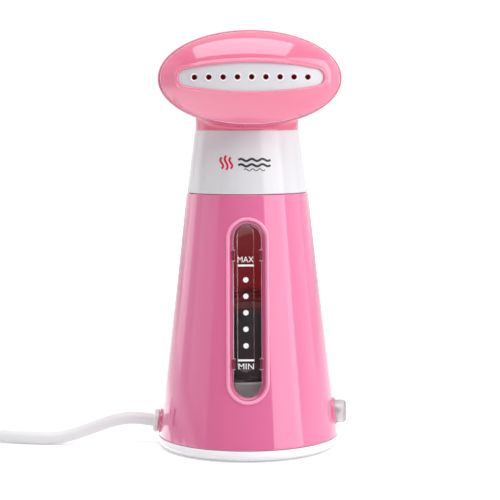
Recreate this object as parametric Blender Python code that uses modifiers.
"""A handheld garment steamer that stands on its own base.

Run with: blender --background --python part.py
Metres, +Z up. The origin is the centre of the grip pad that the steamer stands on. The nozzle faces -Y, the power
button is on the +X side and the cord leaves on the -X side.
"""

import math

import bmesh
import bpy
from mathutils import Matrix, Vector

MM = 0.001
GAP = 0.3 * MM  # running and resting clearance between neighbouring pieces

# Driving heights of the outside, from the surface the steamer stands on
BASE_BOTTOM_Z = 0.9 * MM
SEAM_Z = 6.1 * MM
COLLAR_BOTTOM_Z = 138.0 * MM
COLLAR_TOP_Z = 172.0 * MM
RIM_BOTTOM_Z = 173.7 * MM

# Driving radii of the outside
SEAM_RADIUS = 48.9 * MM
SHOULDER_RADIUS = 33.2 * MM
WALL_HOLLOW = 1.5 * MM  # four times the most that the tapered wall dips inside a straight cone
COLLAR_BOTTOM_RADIUS = 32.9 * MM
COLLAR_TOP_RADIUS = 28.4 * MM
BASE_RADIUS = 49.3 * MM
WALL = 2.4 * MM

# Head: an elliptical face ahead of a round neck
FACE_HALF_WIDTH = 48.5 * MM
FACE_HALF_HEIGHT = 25.5 * MM
FACE_DEPTH = 17.0 * MM
FACE_ROUNDNESS = 0.55
FACE_TILT = math.radians(0.5)  # the face looks up very slightly
HEAD_TURN = math.radians(3.2)  # the thread comes tight a little past centre
RIM_Y = -30.0 * MM
NECK_RADIUS = 28.1 * MM
SKIN = 2.0 * MM

# Steam plate: two shallow arcs with round ends
PLATE_HALF_WIDTH = 37.7 * MM
PLATE_HALF_HEIGHT = 7.2 * MM
PLATE_ARC_RADIUS = 190.0 * MM
PLATE_END_RADIUS = 4.1 * MM
STEAM_HOLES = 9
STEAM_HOLE_PITCH = 7.35 * MM
STEAM_HOLE_RADIUS = 1.4 * MM

# Tank neck and its screw thread
NECK_OUTER = 24.2 * MM
NECK_INNER = 21.6 * MM
NECK_TOP_Z = 153.0 * MM
THREAD_PITCH = 5.0 * MM
THREAD_BEAD = 1.2 * MM
THREAD_TURNS = 1.25
THREAD_START_Z = 142.5 * MM
THREAD_START_ANGLE = math.radians(7)

# Gauge window on the front of the tank
WINDOW_MIDDLE_Z = 78.0 * MM
WINDOW_WIDTH = 14.4 * MM
WINDOW_LENGTH = 89.0 * MM
WINDOW_BEAD_WIDTH = 20.6 * MM
WINDOW_BEAD_LENGTH = 94.6 * MM

# Tank floor and boiler
FLOOR_Z = 29.0 * MM
FLOOR_THICKNESS = 2.2 * MM
FLOOR_HOLE = 30.2 * MM
CUP_RADIUS = 29.0 * MM
ELEMENT_RADIUS = 20.0 * MM
ELEMENT_Z = 33.2 * MM
FUSE_PLACE = Vector((12.2 * MM, 0, 33.6 * MM))
CUP_TOP_Z = 39.0 * MM
SHROUD_TOP_Z = 81.0 * MM

# The power button slides level, and the cord leaves square to the tapered wall
BUTTON_AZIMUTH = math.radians(-8)
BUTTON_Z = 19.0 * MM
BUTTON_RADIUS = 6.2 * MM
BUTTON_OUT = 6.8 * MM
CORD_AZIMUTH = math.radians(180)
CORD_Z = 12.8 * MM
CORD_RADIUS = 3.5 * MM

# Tied hank of cord on the floor, and the plug
HANK_X = -191.0 * MM
HANK_Y = 30.0 * MM
HANK_STRAIGHT = 66.0 * MM
HANK_OUTER_BEND = 30.6 * MM
STRAND_PITCH = 7.8 * MM
HANK_Z = 4.6 * MM  # the tie passes under the strands
UPPER_Z = 11.8 * MM
PLUG_PLACE = Vector((-232.0 * MM, -34.0 * MM, 8.3 * MM))

ROUND = 32  # sides of the large turned pieces
FINE = 16  # sides of the small ones
SECTION = 28  # points round each head section


def clear_scene():
    for obj in list(bpy.data.objects):
        bpy.data.objects.remove(obj)


def new_collection(name, hidden=False):
    collection = bpy.data.collections.new(name)
    bpy.context.scene.collection.children.link(collection)
    collection.hide_render = hidden
    return collection


def material(name, colour, roughness, metallic=0.0, alpha=1.0):
    made = bpy.data.materials.new(name)
    made.use_nodes = True
    shader = made.node_tree.nodes["Principled BSDF"]
    shader.inputs["Base Color"].default_value = (*colour, 1.0)
    shader.inputs["Roughness"].default_value = roughness
    shader.inputs["Metallic"].default_value = metallic
    shader.inputs["Alpha"].default_value = alpha
    made.diffuse_color = (*colour, alpha)
    return made


clear_scene()
PARTS = new_collection("handheld_steamer")
CUTTERS = new_collection("cutters", hidden=True)

PINK = material("pink_gloss_plastic", (0.80, 0.17, 0.36), 0.18)
HEAD_PINK = material("head_pink_plastic", (0.86, 0.22, 0.36), 0.18)
WHITE = material("white_gloss_plastic", (0.80, 0.80, 0.82), 0.25)
CLEAR = material("clear_plastic", (0.85, 0.85, 0.87), 0.08, alpha=0.35)
BUSHING = material("translucent_bushing", (0.80, 0.78, 0.78), 0.4)
CORD = material("cord_jacket", (0.75, 0.75, 0.77), 0.45)
BLACK = material("black_heatproof_plastic", (0.02, 0.018, 0.02), 0.5)
CREAM = material("inner_plastic", (0.72, 0.70, 0.66), 0.45)
SILICONE = material("silicone", (0.62, 0.20, 0.16), 0.6)
RUBBER = material("grip_rubber", (0.10, 0.10, 0.11), 0.8)
STEEL = material("stainless_steel", (0.58, 0.58, 0.60), 0.3, metallic=1.0)
ZINC = material("zinc_screw", (0.55, 0.55, 0.57), 0.35, metallic=1.0)
BRASS = material("brass_contact", (0.70, 0.52, 0.22), 0.3, metallic=1.0)
NEON = material("lamp_glass", (0.85, 0.25, 0.10), 0.15)
WIRE_BROWN = material("wire_brown", (0.20, 0.07, 0.03), 0.5)
WIRE_BLUE = material("wire_blue", (0.04, 0.12, 0.45), 0.5)
WIRE_RED = material("wire_red", (0.55, 0.03, 0.03), 0.5)
GLASS_FIBRE = material("glass_fibre_sleeve", (0.78, 0.76, 0.68), 0.8)


# ---------------------------------------------------------------- making shapes


def new_object(name, data, finish=None, parent=None, frame=None):
    """Adds an object for data, placed by frame inside parent. With no finish it is a cutter or a piece to be joined."""
    obj = bpy.data.objects.new(name, data)
    (PARTS if finish else CUTTERS).objects.link(obj)
    obj.parent = parent
    if frame is not None:
        obj.matrix_local = frame
    if finish:
        obj.data.materials.append(finish)
    else:
        obj.hide_render = True
        obj.display_type = "WIRE"
    return obj


def empty(name, parent=None, frame=None):
    obj = bpy.data.objects.new(name, None)
    PARTS.objects.link(obj)
    obj.parent = parent
    if frame is not None:
        obj.matrix_local = frame
    return obj


def mesh_object(name, bm, finish=None, parent=None, frame=None):
    mesh = bpy.data.meshes.new(name)
    bm.to_mesh(mesh)
    bm.free()
    mesh.shade_smooth()
    mesh.set_sharp_from_angle(angle=math.radians(35))
    return new_object(name, mesh, finish, parent, frame)


def turned(name, profile, finish=None, parent=None, frame=None, steps=ROUND):
    """Turns (radius, height) points about Z. They run down the outer side, then up the inner side or along the axis."""
    bm = bmesh.new()
    points = [bm.verts.new((r, 0, z)) for r, z in profile]
    on_axis = profile[0][0] == 0 and profile[-1][0] == 0
    for first, second in zip(points, points[1:]):
        bm.edges.new((first, second))
    if not on_axis:
        bm.edges.new((points[-1], points[0]))
    obj = mesh_object(name, bm, finish, parent, frame)
    screw = obj.modifiers.new("turn", "SCREW")
    screw.axis = "Z"
    screw.steps = steps
    screw.render_steps = steps
    screw.use_merge_vertices = True
    screw.merge_threshold = 0.01 * MM
    screw.use_smooth_shade = True
    return obj


def rod(name, radius, low, high, finish=None, parent=None, frame=None, sides=FINE):
    """A cylinder along Z from low to high."""
    bm = bmesh.new()
    bmesh.ops.create_cone(
        bm, cap_ends=True, segments=sides, radius1=radius, radius2=radius, depth=high - low,
        matrix=Matrix.Translation((0, 0, (low + high) / 2)),
    )
    return mesh_object(name, bm, finish, parent, frame)


def block(name, size, centre, finish=None, parent=None, frame=None):
    bm = bmesh.new()
    bmesh.ops.create_cube(bm, size=1, matrix=Matrix.Translation(centre) @ Matrix.Diagonal((*size, 1)))
    return mesh_object(name, bm, finish, parent, frame)


def lofted(name, rings, finish=None, parent=None, frame=None, looped=False):
    """Skins rings of equally many points in the same order. The ends are closed, or joined to each other if looped."""
    bm = bmesh.new()
    rows = [[bm.verts.new(point) for point in ring] for ring in rings]
    count = len(rows[0])
    for lower, upper in zip(rows, rows[1:]):
        for i in range(count):
            j = (i + 1) % count
            bm.faces.new((lower[i], lower[j], upper[j], upper[i]))
    if looped:
        for i in range(count):
            j = (i + 1) % count
            bm.faces.new((rows[-1][i], rows[-1][j], rows[0][j], rows[0][i]))
    else:
        bm.faces.new(reversed(rows[0]))
        bm.faces.new(rows[-1])
    bmesh.ops.recalc_face_normals(bm, faces=bm.faces)
    return mesh_object(name, bm, finish, parent, frame)


def curve_object(name, finish, parent, frame, dimensions):
    curve = bpy.data.curves.new(name, "CURVE")
    curve.dimensions = dimensions
    return new_object(name, curve, finish, parent, frame)


def add_spline(curve, points, cyclic):
    spline = curve.splines.new("POLY")
    spline.points.add(len(points) - 1)
    for place, point in zip(spline.points, points):
        place.co = (*point, 1) if len(point) == 3 else (*point, 0, 1)
    spline.use_cyclic_u = cyclic


def wire(name, points, radius, finish=None, parent=None, frame=None, cyclic=False, detail=2):
    """A round rod through points."""
    obj = curve_object(name, finish, parent, frame, "3D")
    add_spline(obj.data, points, cyclic)
    obj.data.bevel_depth = radius
    obj.data.bevel_resolution = detail
    obj.data.use_fill_caps = not cyclic
    return obj


def plate(name, outlines, low, high, finish=None, parent=None, frame=None):
    """Flat outlines filled and extruded from low to high along Z. An outline inside another is a hole."""
    shift = Matrix.Translation((0, 0, (low + high) / 2))
    obj = curve_object(name, finish, parent, (frame or Matrix()) @ shift, "2D")
    for outline in outlines:
        add_spline(obj.data, outline, True)
    obj.data.fill_mode = "BOTH"
    obj.data.extrude = (high - low) / 2
    return obj


def as_mesh(curve_obj):
    """Replaces a curve by its mesh, with its caps welded on, so that it can be cut, joined or used as a cutter."""
    bpy.context.view_layer.update()
    evaluated = curve_obj.evaluated_get(bpy.context.evaluated_depsgraph_get())
    mesh = bpy.data.meshes.new_from_object(evaluated)
    bm = bmesh.new()
    bm.from_mesh(mesh)
    bmesh.ops.remove_doubles(bm, verts=bm.verts, dist=0.001 * MM)
    bmesh.ops.recalc_face_normals(bm, faces=bm.faces)
    bm.to_mesh(mesh)
    bm.free()
    name = curve_obj.name
    curve_obj.name = name + "_curve"
    obj = bpy.data.objects.new(name, mesh)
    for collection in curve_obj.users_collection:
        collection.objects.link(obj)
    obj.parent = curve_obj.parent
    obj.matrix_world = curve_obj.matrix_world
    obj.hide_render = curve_obj.hide_render
    obj.display_type = curve_obj.display_type
    bpy.data.objects.remove(curve_obj)
    return obj


def boolean(obj, tool, operation):
    modifier = obj.modifiers.new(f"{operation.lower()} {tool.name}", "BOOLEAN")
    modifier.operation = operation
    modifier.object = tool
    modifier.solver = "EXACT"


def cut(obj, *tools):
    for tool in tools:
        boolean(obj, tool, "DIFFERENCE")


def join(obj, *tools):
    for tool in tools:
        boolean(obj, tool, "UNION")


def screw_fastener(name, head_radius, head_height, shank_radius, length, frame, parent=None):
    """A pan-head screw. Its head starts at the frame's origin and its shank points along -Z."""
    profile = [
        (0, head_height),
        (head_radius * 0.7, head_height),
        (head_radius, head_height * 0.45),
        (head_radius, 0),
        (shank_radius, 0),
        (shank_radius, -length + shank_radius),
        (0, -length),
    ]
    return turned(name, profile, ZINC, parent, frame, steps=8)


# ---------------------------------------------------------------- rules that shapes share


def wall_radius(z):
    """Outer radius of the tank: nearly a cone, hollowed slightly between its ends."""
    t = (z - SEAM_Z) / (COLLAR_BOTTOM_Z - SEAM_Z)
    return SEAM_RADIUS + (SHOULDER_RADIUS - SEAM_RADIUS) * t - WALL_HOLLOW * t * (1 - t)


def wall_frame(azimuth, z):
    """A frame on the tank wall: +Z points squarely out of the wall and +Y up along it."""
    taper = math.atan((SEAM_RADIUS - SHOULDER_RADIUS) / (COLLAR_BOTTOM_Z - SEAM_Z))
    out = Vector((math.cos(azimuth) * math.cos(taper), math.sin(azimuth) * math.cos(taper), math.sin(taper)))
    up = Vector((-math.cos(azimuth) * math.sin(taper), -math.sin(azimuth) * math.sin(taper), math.cos(taper)))
    side = up.cross(out)
    radius = wall_radius(z)
    place = Vector((radius * math.cos(azimuth), radius * math.sin(azimuth), z))
    return Matrix.Translation(place) @ Matrix((side, up, out)).transposed().to_4x4()


def level_frame(azimuth, z):
    """A frame on the tank wall whose +Z points level out of it and whose +Y points up."""
    out = Vector((math.cos(azimuth), math.sin(azimuth), 0))
    up = Vector((0, 0, 1))
    place = out * wall_radius(z) + up * z
    return Matrix.Translation(place) @ Matrix((up.cross(out), up, out)).transposed().to_4x4()


def circle(radius, sides, centre=(0, 0)):
    return [
        (centre[0] + radius * math.cos(2 * math.pi * i / sides), centre[1] + radius * math.sin(2 * math.pi * i / sides))
        for i in range(sides)
    ]


def stadium(width, length, arc_steps=6, side_steps=1):
    """A slot outline: straight sides along Y and half-round ends."""
    r = width / 2
    reach = length / 2 - r
    points = []
    for end in (1, -1):
        for i in range(arc_steps + 1):
            angle = math.pi * i / arc_steps + (0 if end > 0 else math.pi)
            points.append((r * math.cos(angle), end * reach + r * math.sin(angle)))
        for i in range(1, side_steps):
            points.append((-end * r, end * (reach - 2 * reach * i / side_steps)))
    return points


def polar(radius, degrees, z=0.0):
    return Vector((radius * math.cos(math.radians(degrees)), radius * math.sin(math.radians(degrees)), z))


def at(x, y, z):
    return Matrix.Translation((x, y, z))


def aimed(place, direction):
    """A frame at place whose +Z points along direction."""
    return Matrix.Translation(place) @ Vector(direction).to_track_quat("Z", "Y").to_matrix().to_4x4()


def helix(radius, start_z, turns, pitch, steps_per_turn=16, start=0.0):
    count = round(turns * steps_per_turn)
    points = []
    for i in range(count + 1):
        angle = start + 2 * math.pi * i / steps_per_turn
        points.append((radius * math.cos(angle), radius * math.sin(angle), start_z + pitch * i / steps_per_turn))
    return points


def plate_half_height(x, grow=0.0):
    """Half height of the steam plate's outline at x, made larger all round by grow."""
    end_centre = PLATE_HALF_WIDTH - PLATE_END_RADIUS
    x = abs(x)
    if x <= end_centre:
        return PLATE_HALF_HEIGHT - x * x / (2 * PLATE_ARC_RADIUS) + grow
    end = PLATE_END_RADIUS + grow
    return math.sqrt(max(0.0, end * end - (x - end_centre) ** 2))


def plate_outline(grow=0.0, scale=1.0, points=SECTION):
    """(x, z) points round the steam plate, made larger all round by grow and then scaled."""
    outline = []
    for i in range(points):
        angle = 2 * math.pi * i / points
        x = (PLATE_HALF_WIDTH + grow) * math.cos(angle)
        z = math.copysign(plate_half_height(x, grow), math.sin(angle))
        outline.append((x * scale, z * scale))
    return outline


def ellipse(half_width, half_height, points=SECTION):
    return [
        (half_width * math.cos(2 * math.pi * i / points), half_height * math.sin(2 * math.pi * i / points))
        for i in range(points)
    ]


def face_y(x, z):
    """The domed face in the nozzle's frame: forward is -Y and the rim plane is y = 0."""
    share = min(1.0, (x / FACE_HALF_WIDTH) ** 2 + (z / FACE_HALF_HEIGHT) ** 2)
    return -1.0 * MM - FACE_DEPTH * (1 - share) ** FACE_ROUNDNESS


def on_face(outline, behind):
    """Lays an (x, z) outline on the face, moved back by behind."""
    return [(x, face_y(x, z) + behind, z) for x, z in outline]


def flat_ring(outline, y):
    return [(x, y, z) for x, z in outline]


# ---------------------------------------------------------------- tank


def make_tank_shell():
    inner = [(wall_radius(z) - WALL, z) for z in (FLOOR_Z + FLOOR_THICKNESS, 65 * MM, 100 * MM)]
    shoulder_z = COLLAR_BOTTOM_Z - 0.4 * MM
    outer = [(wall_radius(z), z) for z in (114 * MM, 90 * MM, 65 * MM, 40 * MM, 20 * MM)]
    profile = [
        (NECK_OUTER, NECK_TOP_Z),
        (NECK_OUTER, shoulder_z),
        (SHOULDER_RADIUS - 0.5 * MM, shoulder_z),
        (SHOULDER_RADIUS, shoulder_z - 0.5 * MM),
        *outer,
        (SEAM_RADIUS, SEAM_Z + GAP),
        (SEAM_RADIUS - WALL, SEAM_Z + GAP),
        (wall_radius(FLOOR_Z) - WALL, FLOOR_Z),
        (FLOOR_HOLE, FLOOR_Z),
        (FLOOR_HOLE, FLOOR_Z + FLOOR_THICKNESS),
        *inner,
        (SHOULDER_RADIUS - WALL, shoulder_z - WALL),
        (NECK_INNER, shoulder_z - WALL),
        (NECK_INNER, NECK_TOP_Z),
    ]
    shell = turned("tank_shell", profile, PINK)

    thread = helix(NECK_OUTER, THREAD_START_Z, THREAD_TURNS, THREAD_PITCH, start=THREAD_START_ANGLE)
    join(shell, as_mesh(wire("tank_thread", thread, THREAD_BEAD, detail=1)))

    window = wall_frame(math.radians(-90), WINDOW_MIDDLE_Z)
    frame = plate("window_frame", [stadium(19.6 * MM, 94.1 * MM)], -4.4 * MM, -1.9 * MM, frame=window)
    join(shell, as_mesh(frame))
    bead = []
    for x, up in stadium(WINDOW_BEAD_WIDTH, WINDOW_BEAD_LENGTH, arc_steps=8, side_steps=4):
        z = WINDOW_MIDDLE_Z + up * window.col[1].z
        bead.append((x, -math.sqrt(wall_radius(z) ** 2 - x * x), z))
    join(shell, as_mesh(wire("window_bead", bead, 0.95 * MM, cyclic=True, detail=1)))
    opening = stadium(WINDOW_WIDTH + 2 * GAP, WINDOW_LENGTH + 2 * GAP)
    cut(shell, as_mesh(plate("window_opening", [opening], -9 * MM, 4 * MM, frame=window)))

    button_wall = wall_frame(BUTTON_AZIMUTH, BUTTON_Z)
    join(shell, rod("button_ring", 7.5 * MM, -1.6 * MM, 1.1 * MM, frame=button_wall, sides=24))
    button = level_frame(BUTTON_AZIMUTH, BUTTON_Z)
    cut(shell, rod("button_opening", BUTTON_RADIUS + GAP, -7 * MM, 7 * MM, frame=button, sides=24))
    cord = wall_frame(CORD_AZIMUTH, CORD_Z)
    join(shell, rod("cord_ring", 6.2 * MM, -1.6 * MM, 0.7 * MM, frame=cord, sides=24))
    cut(shell, rod("cord_opening", 5.2 * MM, -6 * MM, 6 * MM, frame=cord))

    for index, angle in enumerate((30, 150, 270), 1):
        place = Matrix.Translation(polar(38 * MM, angle))
        join(shell, rod(f"base_boss_{index}", 3.5 * MM, 5.4 * MM, FLOOR_Z + 1 * MM, frame=place, sides=14))
        cut(shell, rod(f"base_boss_hole_{index}", 1.7 * MM, 4 * MM, 16 * MM, frame=place, sides=10))
    for index, angle in enumerate((90, 210, 330), 1):
        place = Matrix.Translation(polar(38 * MM, angle))
        join(shell, rod(f"clamp_boss_{index}", 3.3 * MM, 24.6 * MM, FLOOR_Z + 1 * MM, frame=place, sides=14))
        cut(shell, rod(f"clamp_boss_hole_{index}", 1.6 * MM, 23 * MM, 28.6 * MM, frame=place, sides=10))
    return shell


def make_window():
    frame = wall_frame(math.radians(-90), WINDOW_MIDDLE_Z)
    flange = stadium(WINDOW_WIDTH + 4.2 * MM, WINDOW_LENGTH + 2.4 * MM)
    lens = as_mesh(plate("window_lens", [stadium(WINDOW_WIDTH, WINDOW_LENGTH)], -6.4 * MM, -1.3 * MM, CLEAR, frame=frame))
    join(lens, as_mesh(plate("lens_flange", [flange], -7.2 * MM, -5.6 * MM, frame=frame)))
    inside = stadium(WINDOW_WIDTH + 2 * GAP, WINDOW_LENGTH + 2 * GAP)
    plate("window_seal", [flange, inside], -5.3 * MM, -4.7 * MM, SILICONE, frame=frame)


# ---------------------------------------------------------------- boiler


def make_boiler():
    flange = 34.0 * MM
    turned("boiler_cup", [
        (0, CUP_TOP_Z), (CUP_RADIUS - 1 * MM, CUP_TOP_Z), (CUP_RADIUS, CUP_TOP_Z - 1 * MM), (CUP_RADIUS, 26.6 * MM),
        (flange, 26.6 * MM), (flange, 24.6 * MM), (CUP_RADIUS - 2 * MM, 24.6 * MM),
        (CUP_RADIUS - 2 * MM, CUP_TOP_Z - 2 * MM), (0, CUP_TOP_Z - 2 * MM),
    ], STEEL)
    turned("boiler_gasket", [
        (flange, FLOOR_Z - GAP), (flange, 26.9 * MM), (CUP_RADIUS + 1 * MM, 26.9 * MM), (CUP_RADIUS + 1 * MM, FLOOR_Z - GAP),
    ], SILICONE)

    shroud = turned("boiler_shroud", [
        (6 * MM, SHROUD_TOP_Z + 1.4 * MM), (8 * MM, SHROUD_TOP_Z + 1.4 * MM), (8 * MM, SHROUD_TOP_Z),
        (25 * MM, SHROUD_TOP_Z), (28 * MM, SHROUD_TOP_Z - 3 * MM), (28 * MM, CUP_TOP_Z + GAP),
        (26.2 * MM, CUP_TOP_Z + GAP), (26.2 * MM, SHROUD_TOP_Z - 2 * MM), (6 * MM, SHROUD_TOP_Z - 2 * MM),
    ], BLACK)
    inlet_frame = at(0, 0, CUP_TOP_Z + 2 * MM)
    cut(shroud, block("shroud_inlets", (70 * MM, 8 * MM, 4 * MM), (0, 0, 0), frame=inlet_frame))

    # Tubular element: most of a circle under the cup's top, with both ends turned down
    ring = [polar(ELEMENT_RADIUS, -60 + 300 * i / 24, ELEMENT_Z) for i in range(25)]
    start, end = ring[0], ring[-1]
    drop = [Vector((0, 0, -step)) for step in (2.5 * MM, 11 * MM)]
    path = [start + drop[1], start + drop[0], *ring[1:-1], end + drop[0], end + drop[1]]
    wire("heating_element", path, 3.2 * MM, STEEL)

    clamp = as_mesh(plate("boiler_clamp", [circle(34 * MM, ROUND), circle(30 * MM, ROUND)], 22.2 * MM, 24.3 * MM, CREAM))
    for index, angle in enumerate((90, 210, 330), 1):
        turn = Matrix.Rotation(math.radians(angle), 4, "Z")
        join(clamp, block(f"clamp_ear_{index}", (10 * MM, 8 * MM, 2.1 * MM), (36.5 * MM, 0, 23.25 * MM), frame=turn))
        place = Matrix.Translation(polar(38 * MM, angle))
        cut(clamp, rod(f"clamp_ear_hole_{index}", 1.6 * MM, 21 * MM, 26 * MM, frame=place, sides=10))
        down = place @ at(0, 0, 21.9 * MM) @ Matrix.Rotation(math.pi, 4, "X")
        screw_fastener(f"clamp_screw_{index}", 2.8 * MM, 1.6 * MM, 1.3 * MM, 6 * MM, down)


def make_cutouts():
    """Thermostat under the cup's top, and the thermal fuse in its clip beside it."""
    thermostat = turned("thermostat", [
        (0, 36.7 * MM), (7.6 * MM, 36.7 * MM), (7.6 * MM, 33.5 * MM), (6.8 * MM, 33.5 * MM), (6.8 * MM, 27.5 * MM),
        (0, 27.5 * MM),
    ], BLACK, steps=24)
    for side in (-1, 1):
        join(thermostat, block(f"thermostat_tab_{side + 2}", (0.8 * MM, 4 * MM, 9 * MM), (side * 4 * MM, 0, 25 * MM)))
    fuse = aimed(FUSE_PLACE, (0, 1, 0))
    rod("thermal_fuse", 1.9 * MM, -7 * MM, 7 * MM, GLASS_FIBRE, frame=fuse, sides=14)
    plate("fuse_clip", [circle(3.0 * MM, 20), circle(2.2 * MM, 20)], -2.5 * MM, 2.5 * MM, STEEL, frame=fuse)


# ---------------------------------------------------------------- base


def make_base():
    floor_top = 3.2 * MM
    cover = turned("base_cover", [
        (0, floor_top), (43.4 * MM, floor_top), (43.4 * MM, 8.4 * MM), (45.4 * MM, 8.4 * MM), (45.4 * MM, SEAM_Z),
        (BASE_RADIUS, SEAM_Z), (BASE_RADIUS, 3.6 * MM), (BASE_RADIUS - 0.8 * MM, 2.0 * MM),
        (BASE_RADIUS - 2.2 * MM, BASE_BOTTOM_Z), (31 * MM, BASE_BOTTOM_Z), (31 * MM, 1.8 * MM), (0, 1.8 * MM),
    ], WHITE)
    cut(cover, block("cord_notch", (5.5 * MM, 15 * MM, 8 * MM), (-42.7 * MM, 0, 9 * MM)))
    for side in (-1, 1):
        place = at(-31 * MM, side * 9 * MM, 0)
        join(cover, rod(f"cord_post_{side + 2}", 3 * MM, 2.5 * MM, 14.5 * MM, frame=place, sides=14))
        cut(cover, rod(f"cord_post_hole_{side + 2}", 1.4 * MM, 6 * MM, 16 * MM, frame=place, sides=10))
    for index, angle in enumerate((30, 150, 270), 1):
        place = Matrix.Translation(polar(38 * MM, angle))
        join(cover, rod(f"cover_boss_{index}", 4.6 * MM, 2.4 * MM, 5.1 * MM, frame=place, sides=16))
        cut(cover, rod(f"cover_hole_{index}", 1.7 * MM, 0, 8 * MM, frame=place, sides=10))
        cut(cover, rod(f"cover_sink_{index}", 3.4 * MM, 0, 3.1 * MM, frame=place, sides=14))
        up = place @ at(0, 0, 2.8 * MM) @ Matrix.Rotation(math.pi, 4, "X")
        screw_fastener(f"base_screw_{index}", 2.9 * MM, 1.6 * MM, 1.4 * MM, 11 * MM, up)
    rod("grip_pad", 30.6 * MM, 0, 1.5 * MM, RUBBER, sides=ROUND)


# ---------------------------------------------------------------- power switch


def make_switch():
    frame = level_frame(BUTTON_AZIMUTH, BUTTON_Z)
    button_axis = empty("button_axis", frame=frame)
    flange_front = -3.8 * MM
    flange_back = -5.2 * MM
    turned("power_button", [
        (0, BUTTON_OUT), (BUTTON_RADIUS - 1.6 * MM, BUTTON_OUT), (BUTTON_RADIUS - 0.4 * MM, BUTTON_OUT - 0.5 * MM),
        (BUTTON_RADIUS, BUTTON_OUT - 1.7 * MM), (BUTTON_RADIUS, flange_front), (7.3 * MM, flange_front),
        (7.3 * MM, flange_back), (5.1 * MM, flange_back), (5.1 * MM, BUTTON_OUT - 1.6 * MM),
        (0, BUTTON_OUT - 1.6 * MM),
    ], CLEAR, button_axis, steps=24)
    turned("switch_plunger", [
        (0, -2.2 * MM), (4.5 * MM, -2.2 * MM), (4.5 * MM, -4.4 * MM), (2.2 * MM, -4.4 * MM), (2.2 * MM, -15.5 * MM),
        (0, -15.5 * MM),
    ], WHITE, button_axis, steps=16)
    coil = helix(3.3 * MM, -9.2 * MM, 3, 1.4 * MM, steps_per_turn=8)
    wire("button_spring", coil, 0.3 * MM, STEEL, button_axis, detail=0)
    body = block("switch_body", (12 * MM, 11 * MM, 14 * MM), (0, -2.4 * MM, -16.6 * MM), BLACK, frame=frame)
    cut(body, rod("plunger_bore", 2.6 * MM, -19.5 * MM, -8 * MM, frame=frame, sides=16))
    for index, across in enumerate((-3.5 * MM, 3.5 * MM), 1):
        place = (across, -2.4 * MM, -25.3 * MM)
        join(body, block(f"switch_tab_{index}", (0.8 * MM, 4.5 * MM, 5 * MM), place, frame=frame))
    turned("indicator_lamp", [
        (0, 3.4 * MM), (1.4 * MM, 2.8 * MM), (2.0 * MM, 1.4 * MM), (2.0 * MM, -1.6 * MM), (0, -1.6 * MM),
    ], NEON, button_axis, steps=16)


# ---------------------------------------------------------------- cord


def spiral(centre, start_radius, end_radius, start, end, low, high, steps=6):
    """Points on an arc whose radius and height change evenly, with angles in degrees."""
    points = []
    for i in range(steps + 1):
        t = i / steps
        turn = polar(start_radius + (end_radius - start_radius) * t, start + (end - start) * t)
        points.append(Vector((centre[0] + turn.x, centre[1] + turn.y, low + (high - low) * t)))
    return points


def cord_lead():
    """From the clamp inside the base, out through the bushing and down to the floor beside the steamer."""
    frame = wall_frame(CORD_AZIMUTH, CORD_Z)
    out = frame.col[2].to_3d()
    wall = frame.translation
    lead = [wall - out * 19 * MM, wall - out * 6 * MM, wall + out * 5 * MM, wall + out * 12 * MM]
    start = lead[-1]
    floor = CORD_RADIUS + 0.1 * MM
    end = Vector((-108 * MM, 0, floor))
    for i in range(1, 9):
        t = i / 8
        along = start.lerp(end, t)
        rise = out.z / -out.x * (start.x - end.x) * t * (1 - t) ** 2
        sag = t * t * (3 - 2 * t)
        lead.append(Vector((along.x, 0, start.z + rise + (end.z - start.z) * sag)))
    return lead + [Vector((-124 * MM, 2 * MM, floor)), Vector((-138 * MM, 6 * MM, floor + 0.3 * MM))]


def cord_hank():
    """Four and a half turns in two layers, from the steamer's side of the hank to its far left."""
    half = HANK_STRAIGHT / 2
    far = (HANK_X, HANK_Y + half)
    near = (HANK_X, HANK_Y - half)
    middle = HANK_OUTER_BEND - STRAND_PITCH
    inner = middle - STRAND_PITCH
    upper_inner = HANK_OUTER_BEND - 1.5 * STRAND_PITCH
    upper_outer = upper_inner + STRAND_PITCH
    bend = 14 * MM
    path = spiral((HANK_X + HANK_OUTER_BEND + bend, 23 * MM), bend, bend, 265, 180, HANK_Z, HANK_Z, 4)
    for far_start, far_end, near_radius, low, high in (
        (HANK_OUTER_BEND, HANK_OUTER_BEND, middle, HANK_Z, HANK_Z),
        (middle, middle, inner, HANK_Z, HANK_Z),
        (inner, upper_inner, upper_inner, HANK_Z, UPPER_Z),
        (upper_inner, upper_outer, upper_outer, UPPER_Z, UPPER_Z),
    ):
        path += spiral(far, far_start, far_end, 0, 180, low, high)
        path += spiral(near, near_radius, near_radius, 180, 360, high, high)
    path += spiral(far, upper_outer, upper_outer + STRAND_PITCH, 0, 180, UPPER_Z, UPPER_Z)
    return path


def cord_tail():
    """Off the hank, down to the floor and into the plug."""
    x, y, z = PLUG_PLACE
    return [
        Vector((x + 3.5 * MM, y + 84 * MM, 9.5 * MM)),
        Vector((x + 0.8 * MM, y + 70 * MM, 6 * MM)),
        Vector((x, y + 56 * MM, HANK_Z)),
        Vector((x, y + 36 * MM, HANK_Z)),
        Vector((x, y + 18 * MM, 5.6 * MM)),
        Vector((x, y + 6 * MM, z)),
        Vector((x, y - 6 * MM, z)),
    ]


def wrapped(centres, radius, steps=4):
    """The outline of a band pulled round circles, whose centres are listed anticlockwise."""
    outline = []
    count = len(centres)
    for i, centre in enumerate(centres):
        before = Vector(centre) - Vector(centres[i - 1])
        after = Vector(centres[(i + 1) % count]) - Vector(centre)
        start = math.atan2(before.y, before.x) - math.pi / 2
        sweep = (math.atan2(after.y, after.x) - math.pi / 2 - start) % (2 * math.pi)
        for k in range(steps + 1):
            angle = start + sweep * k / steps
            outline.append((centre[0] + radius * math.cos(angle), centre[1] + radius * math.sin(angle)))
    return outline


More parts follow.
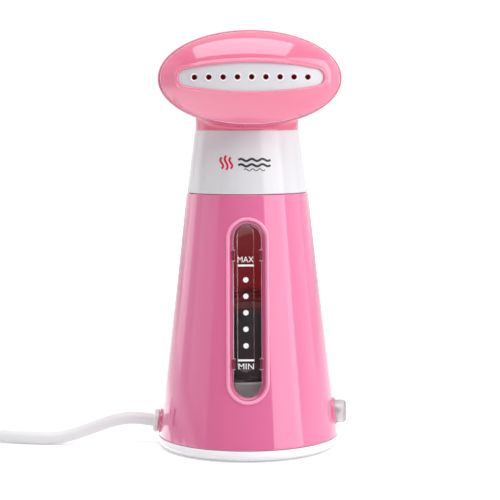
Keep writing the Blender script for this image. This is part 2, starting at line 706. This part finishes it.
def make_cord():
    frame = wall_frame(CORD_AZIMUTH, CORD_Z)
    turned("cord_bushing", [
        (5.6 * MM, 3.9 * MM), (6.3 * MM, 3.2 * MM), (6.3 * MM, 1.1 * MM), (4.9 * MM, 1.1 * MM), (4.9 * MM, -3.3 * MM),
        (6.0 * MM, -3.3 * MM), (6.0 * MM, -5.0 * MM), (3.8 * MM, -5.0 * MM), (3.8 * MM, 3.9 * MM),
    ], BUSHING, frame=frame, steps=16)
    wire("power_cord", cord_lead() + cord_hank() + cord_tail(), CORD_RADIUS, CORD, detail=1)

    bar = block("cord_clamp", (8 * MM, 25 * MM, 2 * MM), (-31 * MM, 0, 15.9 * MM), CREAM)
    for index, side in enumerate((-1, 1), 1):
        place = at(-31 * MM, side * 9 * MM, 0)
        cut(bar, rod(f"cord_clamp_hole_{index}", 1.4 * MM, 12 * MM, 18 * MM, frame=place, sides=10))
        screw_fastener(f"cord_clamp_screw_{index}", 2.4 * MM, 1.5 * MM, 1.1 * MM, 9 * MM, place @ at(0, 0, 17.2 * MM))

    offsets = (HANK_OUTER_BEND - 2 * STRAND_PITCH, HANK_OUTER_BEND)
    uppers = (HANK_OUTER_BEND - 0.5 * STRAND_PITCH, HANK_OUTER_BEND - 1.5 * STRAND_PITCH)
    strands = [(x, HANK_Z) for x in offsets] + [(x, UPPER_Z) for x in uppers]
    upright = Matrix.Translation((HANK_X, HANK_Y, 0)) @ Matrix.Rotation(math.pi / 2, 4, "X")
    band = [wrapped(strands, CORD_RADIUS + 1.0 * MM), wrapped(strands, CORD_RADIUS + 0.2 * MM)]
    plate("cord_tie", band, -6 * MM, 6 * MM, BLACK, frame=upright)


def rounded_box(half_width, half_height, corner, depth, steps=5):
    """A ring of points at depth along Z: a rectangle with rounded corners."""
    ring = []
    for index, (sx, sy) in enumerate(((1, 1), (-1, 1), (-1, -1), (1, -1))):
        for k in range(steps + 1):
            angle = math.pi / 2 * (index + k / steps)
            x = sx * (half_width - corner) + corner * math.cos(angle)
            y = sy * (half_height - corner) + corner * math.sin(angle)
            ring.append((x, y, depth))
    return ring


def make_plug():
    """A two-pin plug whose pins point along -Y. Its own +Z runs towards the pins."""
    frame = Matrix.Translation(PLUG_PLACE) @ Matrix.Rotation(math.pi / 2, 4, "X")
    body = lofted("plug_body", [
        rounded_box(4.6 * MM, 4.6 * MM, 4.55 * MM, -6 * MM),
        rounded_box(5.2 * MM, 5.2 * MM, 5.1 * MM, 8 * MM),
        rounded_box(9.5 * MM, 7.0 * MM, 5.0 * MM, 13 * MM),
        rounded_box(12.2 * MM, 7.9 * MM, 4.6 * MM, 20 * MM),
        rounded_box(12.6 * MM, 8.1 * MM, 4.2 * MM, 34 * MM),
        rounded_box(12.0 * MM, 7.5 * MM, 3.6 * MM, 35 * MM),
    ], CORD, frame=frame)
    cut(body, rod("plug_cord_bore", CORD_RADIUS + 0.15 * MM, -8 * MM, 6.2 * MM, frame=frame, sides=16))
    for index, side in enumerate((-1, 1), 1):
        place = (side * 6.35 * MM, 0, 40 * MM)
        hollow = (1.9 * MM, 6.8 * MM, 26 * MM)
        cut(body, block(f"plug_slot_{index}", hollow, place, frame=frame))
        block(f"plug_pin_{index}", (1.5 * MM, 6.35 * MM, 24.6 * MM), place, BRASS, frame=frame)


def make_wires():
    """Cord to switch to thermostat to element, and back through the fuse to the cord."""
    switch = level_frame(BUTTON_AZIMUTH, BUTTON_Z)
    live_tab = switch @ Vector((-3.5 * MM, -2.4 * MM, -29.2 * MM))
    load_tab = switch @ Vector((3.5 * MM, -2.4 * MM, -29.2 * MM))
    left_pin = polar(ELEMENT_RADIUS, 240, 20.9 * MM)
    right_pin = polar(ELEMENT_RADIUS, -60, 20.9 * MM)
    fuse_back = FUSE_PLACE + Vector((0, 8.2 * MM, 0))
    fuse_front = FUSE_PLACE - Vector((0, 8.2 * MM, 0))
    away = 4 * MM
    paths = (
        ("wire_live", WIRE_BROWN, (
            Vector((-28 * MM, -1.6 * MM, 10.4 * MM)), Vector((-18 * MM, -5 * MM, 8 * MM)),
            Vector((-2 * MM, -8 * MM, 7 * MM)), live_tab + Vector((-8 * MM, -1 * MM, -4 * MM)), live_tab,
        )),
        ("wire_switched", WIRE_RED, (
            load_tab, load_tab + Vector((-5 * MM, 1 * MM, -1 * MM)), Vector((6.5 * MM, 2.5 * MM, 14 * MM)),
            Vector((4 * MM, 0.5 * MM, 17 * MM)), Vector((4 * MM, 0, 19.6 * MM)),
        )),
        ("wire_heater", WIRE_RED, (
            Vector((-4 * MM, 0, 19.6 * MM)), Vector((-4 * MM, -1 * MM, 16.5 * MM)),
            Vector((-8 * MM, -10 * MM, 15 * MM)), left_pin - Vector((0, 0, away)), left_pin,
        )),
        ("wire_fused", WIRE_BLUE, (
            right_pin, right_pin - Vector((0, 0, away)), Vector((12 * MM, -13 * MM, 18 * MM)),
            fuse_front + Vector((0, -2 * MM, -5 * MM)), fuse_front,
        )),
        ("wire_neutral", WIRE_BLUE, (
            fuse_back, fuse_back + Vector((0, 2 * MM, -5 * MM)), Vector((4 * MM, 12 * MM, 19 * MM)),
            Vector((-14 * MM, 8 * MM, 12 * MM)), Vector((-28 * MM, 1.6 * MM, 10.4 * MM)),
        )),
    )
    for name, finish, points in paths:
        wire(name, points, 0.9 * MM, finish, detail=1)


# ---------------------------------------------------------------- head


def make_collar():
    """The white band that carries the head, with a screw-in insert closing the tank's neck."""
    collar = turned("collar", [
        (COLLAR_TOP_RADIUS, COLLAR_TOP_Z - 0.5 * MM), (COLLAR_BOTTOM_RADIUS, COLLAR_BOTTOM_Z + 0.5 * MM),
        (COLLAR_BOTTOM_RADIUS - 0.4 * MM, COLLAR_BOTTOM_Z), (COLLAR_BOTTOM_RADIUS - 2 * MM, COLLAR_BOTTOM_Z),
        (COLLAR_TOP_RADIUS - 2 * MM, COLLAR_TOP_Z - 2 * MM), (9.6 * MM, COLLAR_TOP_Z - 2 * MM),
        (9.6 * MM, COLLAR_TOP_Z), (COLLAR_TOP_RADIUS - 0.4 * MM, COLLAR_TOP_Z),
    ], WHITE, HEAD_AXIS)
    insert = turned("cap_insert", [
        (9 * MM, 176 * MM), (9 * MM, 158 * MM), (27.6 * MM, 158 * MM), (27.6 * MM, COLLAR_BOTTOM_Z + 0.8 * MM),
        (25.9 * MM, COLLAR_BOTTOM_Z + 0.8 * MM), (25.9 * MM, 155.6 * MM), (9 * MM, 155.6 * MM),
        (9 * MM, 150 * MM), (7 * MM, 150 * MM), (7 * MM, 176 * MM),
    ], CREAM, HEAD_AXIS)
    low = THREAD_START_Z - THREAD_PITCH / 2
    thread = helix(25.9 * MM, low, THREAD_TURNS, THREAD_PITCH, start=THREAD_START_ANGLE - HEAD_TURN)
    join(insert, as_mesh(wire("cap_thread", thread, THREAD_BEAD, parent=HEAD_AXIS, detail=1)))
    for index, angle in enumerate((0, 120, 240), 1):
        place = Matrix.Translation(polar(18 * MM, angle))
        post = rod(f"cap_post_{index}", 3.2 * MM, 157 * MM, 169.7 * MM, parent=HEAD_AXIS, frame=place, sides=16)
        join(insert, post)
        clearance = {"parent": HEAD_AXIS, "frame": place, "sides": 12}
        cut(insert, rod(f"cap_screw_hole_{index}", 1.8 * MM, 150 * MM, 175 * MM, **clearance))
        cut(collar, rod(f"collar_screw_hole_{index}", 1.8 * MM, 165 * MM, 175 * MM, **clearance))
        up = place @ at(0, 0, 155.3 * MM) @ Matrix.Rotation(math.pi, 4, "X")
        screw_fastener(f"head_screw_{index}", 2.8 * MM, 1.6 * MM, 1.4 * MM, 25 * MM, up, HEAD_AXIS)

    baffle = turned("spill_baffle", [
        (0, 145.6 * MM), (11 * MM, 145.6 * MM), (11 * MM, 152.5 * MM), (12.6 * MM, 152.5 * MM), (12.6 * MM, 145.6 * MM),
        (16 * MM, 145.6 * MM), (16 * MM, 144 * MM), (0, 144 * MM),
    ][::-1], CREAM, HEAD_AXIS, steps=16)
    join(baffle, turned("baffle_socket", [
        (11.2 * MM, 145 * MM), (11.2 * MM, 152.5 * MM), (9.2 * MM, 152.5 * MM), (9.2 * MM, 145 * MM),
    ], parent=HEAD_AXIS, steps=16))
    slots = {"parent": HEAD_AXIS, "frame": at(0, 0, 147.5 * MM)}
    cut(baffle, block("baffle_slots_1", (30 * MM, 5 * MM, 3.2 * MM), (0, 0, 0), **slots))
    cut(baffle, block("baffle_slots_2", (5 * MM, 30 * MM, 3.2 * MM), (0, 0, 0), **slots))

    turned("cap_gasket", [
        (25.4 * MM, 155.3 * MM), (25.4 * MM, NECK_TOP_Z + GAP), (21.6 * MM, NECK_TOP_Z + GAP), (21.6 * MM, 155.3 * MM),
    ], SILICONE)


def smooth(t):
    return t * t * (3 - 2 * t)


def rear_ring(nozzle, degrees, inset):
    """One section of the elbow: upright and as wide as the face at 0 degrees, level and round at 90."""
    near = nozzle @ Vector((0, 0, inset - FACE_HALF_HEIGHT))
    far = nozzle @ Vector((0, 0, FACE_HALF_HEIGHT - inset))
    base = COLLAR_TOP_Z + GAP + inset
    radius = NECK_RADIUS - inset
    turn = math.radians(degrees)
    lean, rise = math.sin(turn), math.cos(turn)
    front = Vector((0, near.y + (-radius - near.y) * lean, base + (near.z - base) * rise))
    back = Vector((0, far.y + (radius - far.y) * lean, base + (far.z - base) * rise))
    widening = smooth(max(0.0, 1 - degrees / 78))  # the neck rises straight before it widens
    half_width = radius + (FACE_HALF_WIDTH - inset - radius) * widening
    return [
        (front + back) / 2 + (back - front) / 2 * up + Vector((half_width * across, 0, 0))
        for across, up in ellipse(1, 1)
    ]


def make_head(nozzle):
    sections = (0, 10, 22, 36, 50, 64, 77, 90)
    outer = [rear_ring(nozzle, angle, 0) for angle in sections]
    inner = [rear_ring(nozzle, angle, SKIN) for angle in sections]
    rear = lofted("head_rear_shell", [*inner[::-1], *outer], HEAD_PINK, HEAD_AXIS)
    cut(rear, rod("port_opening", 9.4 * MM, 165 * MM, 180 * MM, parent=HEAD_AXIS, sides=24))
    for index, angle in enumerate((0, 120, 240), 1):
        place = Matrix.Translation(polar(18 * MM, angle))
        join(rear, rod(f"rear_boss_{index}", 3.2 * MM, 173 * MM, 182 * MM, parent=HEAD_AXIS, frame=place, sides=16))
        cut(rear, rod(f"rear_hole_{index}", 1.8 * MM, 165 * MM, 181 * MM, parent=HEAD_AXIS, frame=place, sides=12))

    spread = (0, 0.35, 0.65, 0.85, 0.96, 1)
    front_rings = []
    hole = plate_outline(GAP)
    rim = ellipse(FACE_HALF_WIDTH, FACE_HALF_HEIGHT)
    inner_rim = ellipse(FACE_HALF_WIDTH - SKIN, FACE_HALF_HEIGHT - SKIN)
    for share in spread:
        blend = [(a[0] + (b[0] - a[0]) * share, a[1] + (b[1] - a[1]) * share) for a, b in zip(hole, rim)]
        front_rings.append(on_face(blend, 0))
    front_rings.append(flat_ring(rim, -GAP))
    front_rings.append(flat_ring(inner_rim, -GAP))
    shrink = (FACE_HALF_WIDTH - SKIN) / FACE_HALF_WIDTH
    for share in (0.94, 0.8, 0.45, 0):
        ring = []
        for a, b in zip(hole, inner_rim):
            x, z = a[0] + (b[0] - a[0]) * share, a[1] + (b[1] - a[1]) * share
            depth = face_y(x / shrink, z * FACE_HALF_HEIGHT / (FACE_HALF_HEIGHT - SKIN)) + SKIN * 1.05
            ring.append((x, min(depth, -GAP * 2), z))
        front_rings.append(ring)
    front = lofted("head_front_shell", front_rings, HEAD_PINK, HEAD_AXIS, nozzle, looped=True)

    shares = (0.04, 0.5, 1)
    steam_plate = lofted("steam_plate", [
        *[on_face(plate_outline(scale=s), 0.6 * MM) for s in shares],
        on_face(plate_outline(), 3.8 * MM),
        on_face(plate_outline(1.6 * MM), 3.8 * MM),
        on_face(plate_outline(1.6 * MM), 4.9 * MM),
        *[on_face(plate_outline(-1 * MM, scale=s), 4.9 * MM) for s in reversed(shares)],
    ], WHITE, HEAD_AXIS, nozzle)
    for index in range(STEAM_HOLES):
        place = ((index - (STEAM_HOLES - 1) / 2) * STEAM_HOLE_PITCH, 0, 0)
        hole_frame = nozzle @ at(*place) @ Matrix.Rotation(math.pi / 2, 4, "X")
        cutter = rod(f"steam_hole_{index + 1}", STEAM_HOLE_RADIUS, 0, 25 * MM, parent=HEAD_AXIS, frame=hole_frame, sides=8)
        cut(steam_plate, cutter)

    lofted("plate_seal", [
        on_face(plate_outline(0.4 * MM), 5.2 * MM), on_face(plate_outline(-1.4 * MM), 5.2 * MM),
        on_face(plate_outline(-1.4 * MM), 6.0 * MM), on_face(plate_outline(0.4 * MM), 6.0 * MM),
    ], SILICONE, HEAD_AXIS, nozzle, looped=True)

    back = -0.4 * MM
    chamber = lofted("steam_chamber", [
        flat_ring(plate_outline(-1.4 * MM, scale=0.04), back - 1.8 * MM),
        flat_ring(plate_outline(-1.4 * MM), back - 1.8 * MM),
        on_face(plate_outline(-1.4 * MM), 6.3 * MM),
        on_face(plate_outline(0.4 * MM), 6.3 * MM),
        flat_ring(plate_outline(0.4 * MM), back),
        flat_ring(plate_outline(0.4 * MM, scale=0.04), back),
    ], CREAM, HEAD_AXIS, nozzle)
    spigot = nozzle @ Matrix.Rotation(math.pi / 2, 4, "X")
    join(chamber, rod("chamber_spigot", 7.6 * MM, -7 * MM, 1.2 * MM, parent=HEAD_AXIS, frame=spigot, sides=24))
    for index, side in enumerate((-1, 1), 1):
        place = spigot @ at(side * 43 * MM, 0, 0)
        ear = (13.2 * MM, 4.6 * MM, 1.5 * MM)
        join(chamber, block(f"chamber_ear_{index}", ear, (side * 38.2 * MM, 0, 1.25 * MM), parent=HEAD_AXIS, frame=spigot))
        cut(chamber, rod(f"chamber_ear_hole_{index}", 1.3 * MM, -2 * MM, 6 * MM, parent=HEAD_AXIS, frame=place, sides=10))
        join(front, rod(f"front_boss_{index}", 2.4 * MM, 2.6 * MM, 5.9 * MM, parent=HEAD_AXIS, frame=place, sides=12))
        cut(front, rod(f"front_boss_hole_{index}", 1.3 * MM, 1 * MM, 5.2 * MM, parent=HEAD_AXIS, frame=place, sides=10))
        towards_face = place @ at(0, 0, 0.2 * MM) @ Matrix.Rotation(math.pi, 4, "X")
        screw_fastener(f"chamber_screw_{index}", 2.3 * MM, 1.4 * MM, 1.0 * MM, 4.6 * MM, towards_face, HEAD_AXIS)
    cut(chamber, rod("chamber_bore", 6.3 * MM, -9 * MM, 4 * MM, parent=HEAD_AXIS, frame=spigot, sides=24))

    start = Vector((0, 0, 171 * MM))
    turn_up = Vector((0, 0, 184 * MM))
    turn_forward = nozzle @ Vector((0, 16 * MM, 0))
    end = nozzle @ Vector((0, -0.5 * MM, 0))
    corner = Vector((0, 0, turn_forward.z))
    bend = [
        turn_up * (1 - t) ** 2 + corner * 2 * t * (1 - t) + turn_forward * t * t for t in (0.15, 0.3, 0.45, 0.6, 0.75, 0.9)
    ]
    duct = as_mesh(wire("steam_duct", [start, turn_up, *bend, turn_forward, end], 6.0 * MM, CREAM, HEAD_AXIS))
    beyond = [start - Vector((0, 0, 2 * MM)), turn_up, *bend, turn_forward, nozzle @ Vector((0, -3 * MM, 0))]
    cut(duct, as_mesh(wire("duct_bore", beyond, 4.6 * MM, parent=HEAD_AXIS)))
    ring = [(6.5 * MM * math.cos(a), 6.5 * MM * math.sin(a), 173.5 * MM) for a in [math.pi * i / 8 for i in range(16)]]
    wire("duct_seal", ring, 0.35 * MM, SILICONE, HEAD_AXIS, cyclic=True, detail=0)


HEAD_AXIS = empty("head_axis", frame=Matrix.Rotation(HEAD_TURN, 4, "Z"))
NOZZLE_Z = RIM_BOTTOM_Z + FACE_HALF_HEIGHT
NOZZLE = Matrix.Translation((0, RIM_Y, NOZZLE_Z)) @ Matrix.Rotation(-FACE_TILT, 4, "X")
make_tank_shell()
make_window()
make_boiler()
make_cutouts()
make_base()
make_switch()
make_cord()
make_plug()
make_wires()
make_collar()
make_head(NOZZLE)
